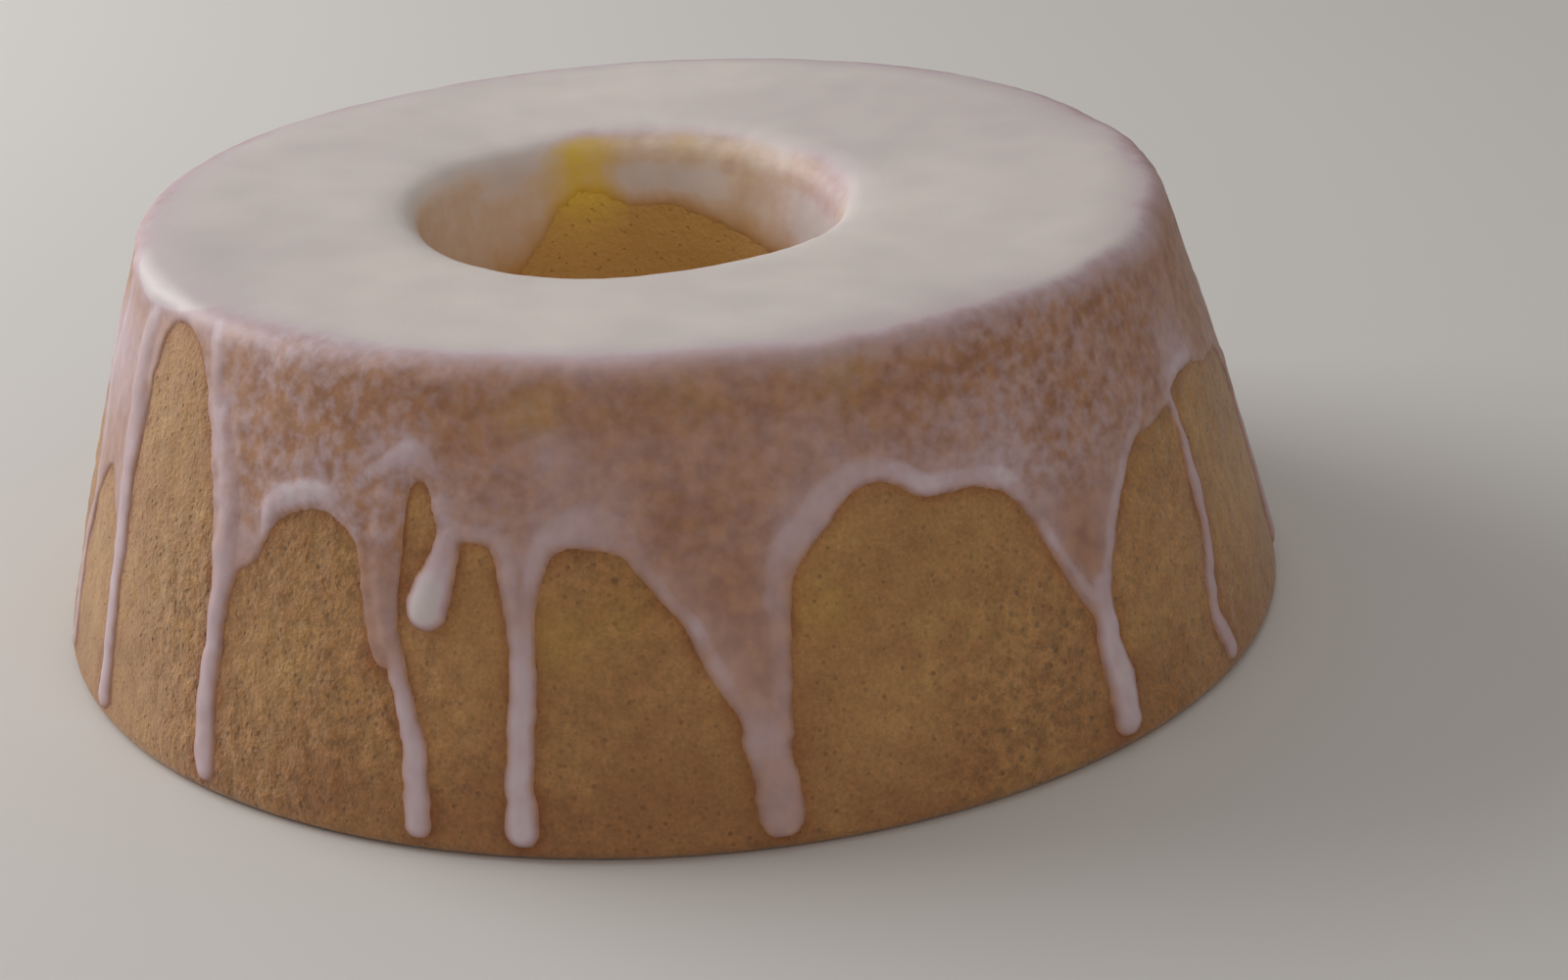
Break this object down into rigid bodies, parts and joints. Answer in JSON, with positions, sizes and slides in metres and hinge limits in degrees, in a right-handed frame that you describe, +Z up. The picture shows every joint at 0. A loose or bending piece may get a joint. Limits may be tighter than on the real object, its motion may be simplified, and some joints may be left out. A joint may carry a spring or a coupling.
{
  "type": "ring cake",
  "caption": "Whole orange ring cake, tapered towards its top, with a centre hole and poured sugar icing that runs down its side.",
  "frame": {"origin": "centre of the cake's footprint, on the surface that it stands on", "axes": "+Z up along the hole, -Y towards the side that the picture shows"},
  "size_m": [0.2407, 0.2421, 0.082],
  "materials": {
    "baked_crust": "matte baked sponge crust, golden brown with fine open pores",
    "sugar_icing": "satin poured sugar icing, opaque on top and a thin see-through film on the side"
  },
  "bodies": {
    "root": {"cake": "baked_crust", "icing": "sugar_icing"}
  },
  "joints": []
}
